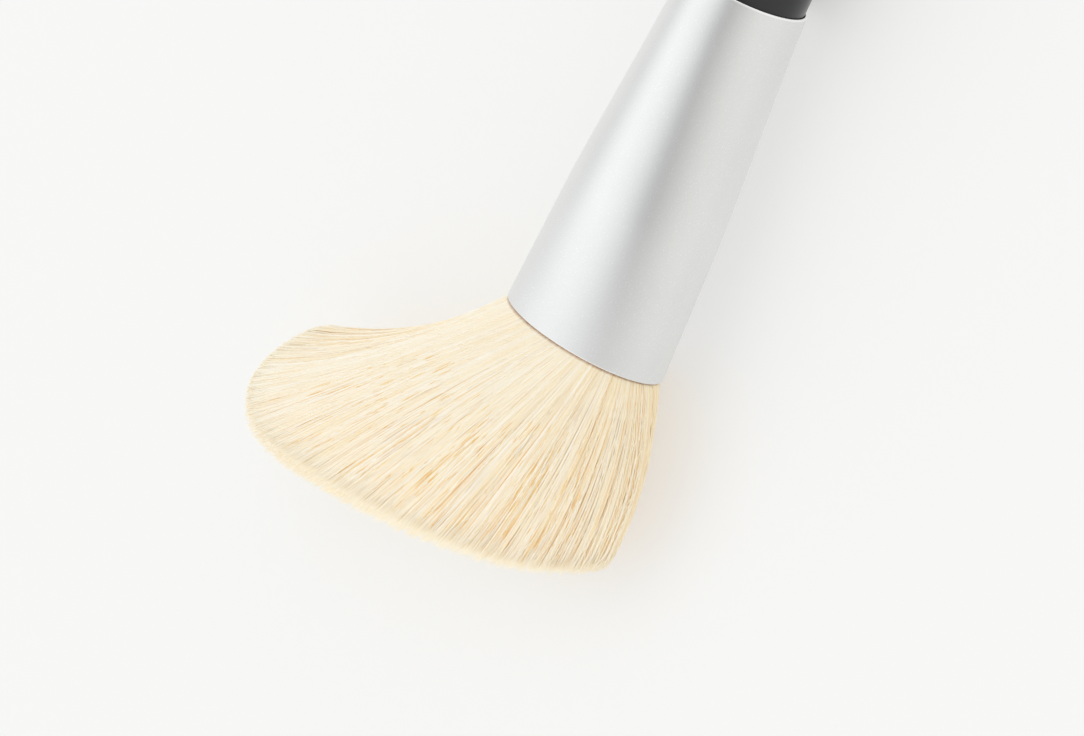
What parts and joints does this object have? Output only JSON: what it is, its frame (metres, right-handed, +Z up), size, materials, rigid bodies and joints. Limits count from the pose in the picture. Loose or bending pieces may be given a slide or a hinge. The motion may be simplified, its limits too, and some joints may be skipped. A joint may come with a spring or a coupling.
{
  "type": "angled contour brush",
  "caption": "Make-up brush with a slanted, fanned pale tuft, a tapered satin metal ferrule that is oval at its mouth, and a slim black handle.",
  "frame": {"origin": "middle of the whole brush seen from above, on the surface it lies on", "axes": "+X along the brush towards the butt of the handle, +Y towards the long side of the hair, +Z up, out of the broad face"},
  "size_m": [0.1724, 0.047, 0.0144],
  "materials": {
    "handle_lacquer": "satin",
    "ferrule_metal": "satin",
    "glue": "gloss",
    "hair": "matte"
  },
  "bodies": {
    "root": {"handle": "handle_lacquer", "ferrule": "ferrule_metal", "glue_plug": "glue", "tuft": "hair"}
  },
  "joints": []
}
